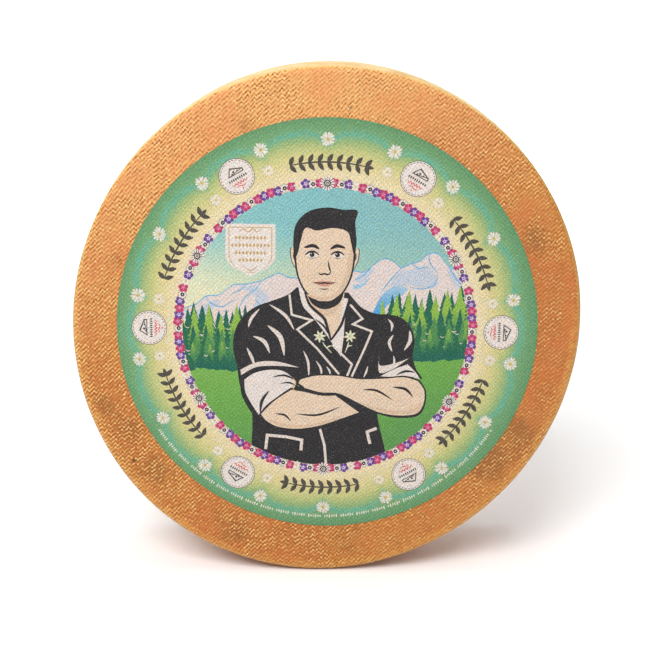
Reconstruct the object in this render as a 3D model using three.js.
// A pressed, washed-rind cheese wheel that stands on its rim, with a round paper label glued to its front face.
// Millimetres, +Z up. The wheel's axis runs along Y, the label faces -Y, and the floor is the plane Z = 0.
import * as THREE from "three";

// The wheel
const WHEEL_RADIUS = 160.5; // mean radius where the side meets the shoulders
const WHEEL_THICKNESS = 80; // from flat face to flat face
const SHOULDER_RADIUS = 5; // the round edge between a face and the side
const SIDE_BULGE = 1.5; // how far the side swells outwards at mid thickness
const STANDING_FLAT_DEPTH = 0.8; // how much of the rim has flattened where the wheel stands

// A wheel that was turned by hand while it drained is never quite round. Each wave adds its height to the
// radius in the direction of its angle, in degrees from +X towards +Z, and again at each of its other lobes.
const OUT_OF_ROUND = [
  { lobes: 2, height: 2.6, angle: 65 },
  { lobes: 3, height: 0.5, angle: 14 },
];

// The label
const BARE_RIND_WIDTH = 29.5; // rind left showing between the label and the mean radius
const LABEL_THICKNESS = 0.4;
const GLUE_LINE = 0.1; // clearance between the rind and the back of the label
const LABEL_SHIFT_X = 0.9; // how far off the wheel's axis the label was laid
const LABEL_SHIFT_Z = 0.4;

// Fineness of the facets
const ROUND_STEPS = 144;
const SHOULDER_STEPS = 5;
const SIDE_STEPS = 8;

const QUARTER_TURN = Math.PI / 2;
const halfThickness = WHEEL_THICKNESS / 2;

// Radius of the wheel's outline in the direction of an angle, in radians from +X towards +Z.
function outlineRadius(angle) {
  return OUT_OF_ROUND.reduce(
    (radius, wave) =>
      radius + wave.height * Math.cos(wave.lobes * (angle - THREE.MathUtils.degToRad(wave.angle))),
    WHEEL_RADIUS,
  );
}

// Half of the wheel's cross-section, from the middle of the front face round to the middle of the back face,
// as points with the distance from the axis in x and the place along the axis in y.
function wheelProfile() {
  const faceRadius = WHEEL_RADIUS - SHOULDER_RADIUS;
  const sideEnd = halfThickness - SHOULDER_RADIUS;
  const frontShoulder = new THREE.Path();
  frontShoulder.absarc(faceRadius, -sideEnd, SHOULDER_RADIUS, -QUARTER_TURN, 0);
  const side = new THREE.QuadraticBezierCurve(
    new THREE.Vector2(WHEEL_RADIUS, -sideEnd),
    new THREE.Vector2(WHEEL_RADIUS + 2 * SIDE_BULGE, 0),
    new THREE.Vector2(WHEEL_RADIUS, sideEnd),
  );
  const backShoulder = new THREE.Path();
  backShoulder.absarc(faceRadius, sideEnd, SHOULDER_RADIUS, 0, QUARTER_TURN);
  return [
    new THREE.Vector2(0, -halfThickness),
    ...frontShoulder.getSpacedPoints(SHOULDER_STEPS),
    ...side.getPoints(SIDE_STEPS).slice(1, -1),
    ...backShoulder.getSpacedPoints(SHOULDER_STEPS),
    new THREE.Vector2(0, halfThickness),
  ];
}

// The section swept round the axis, pushed out of round and flattened where it stands.
function wheelGeometry() {
  const geometry = new THREE.LatheGeometry(wheelProfile(), ROUND_STEPS);
  const places = geometry.getAttribute("position");
  for (let i = 0; i < places.count; i++) {
    const stretch = outlineRadius(Math.atan2(places.getZ(i), places.getX(i))) / WHEEL_RADIUS;
    places.setX(i, places.getX(i) * stretch);
    places.setZ(i, places.getZ(i) * stretch);
  }
  geometry.computeBoundingBox();
  const floor = geometry.boundingBox.min.z + STANDING_FLAT_DEPTH;
  for (let i = 0; i < places.count; i++) {
    places.setZ(i, Math.max(places.getZ(i), floor));
  }
  geometry.computeVertexNormals();
  return geometry;
}

function cheeseWheel() {
  const rind = new THREE.MeshStandardMaterial({ color: 0xc07a3c, roughness: 0.62, metalness: 0 });
  const wheel = new THREE.Mesh(wheelGeometry(), rind);
  wheel.name = "cheese_wheel";
  return wheel;
}

function faceLabel() {
  const radius = WHEEL_RADIUS - BARE_RIND_WIDTH;
  const print = new THREE.MeshStandardMaterial({ color: 0x6fb98a, roughness: 0.55, metalness: 0 });
  const label = new THREE.Mesh(
    new THREE.CylinderGeometry(radius, radius, LABEL_THICKNESS, ROUND_STEPS),
    print,
  );
  label.name = "face_label";
  label.position.set(
    LABEL_SHIFT_X,
    -(halfThickness + GLUE_LINE + LABEL_THICKNESS / 2),
    LABEL_SHIFT_Z,
  );
  return label;
}

// The whole part, moved so that it stands on Z = 0 with its box centred over the origin.
const part = new THREE.Group();
part.add(cheeseWheel(), faceLabel());
const box = new THREE.Box3().setFromObject(part, true);
const middle = box.getCenter(new THREE.Vector3());
part.position.set(-middle.x, -middle.y, -box.min.z);

export default part;
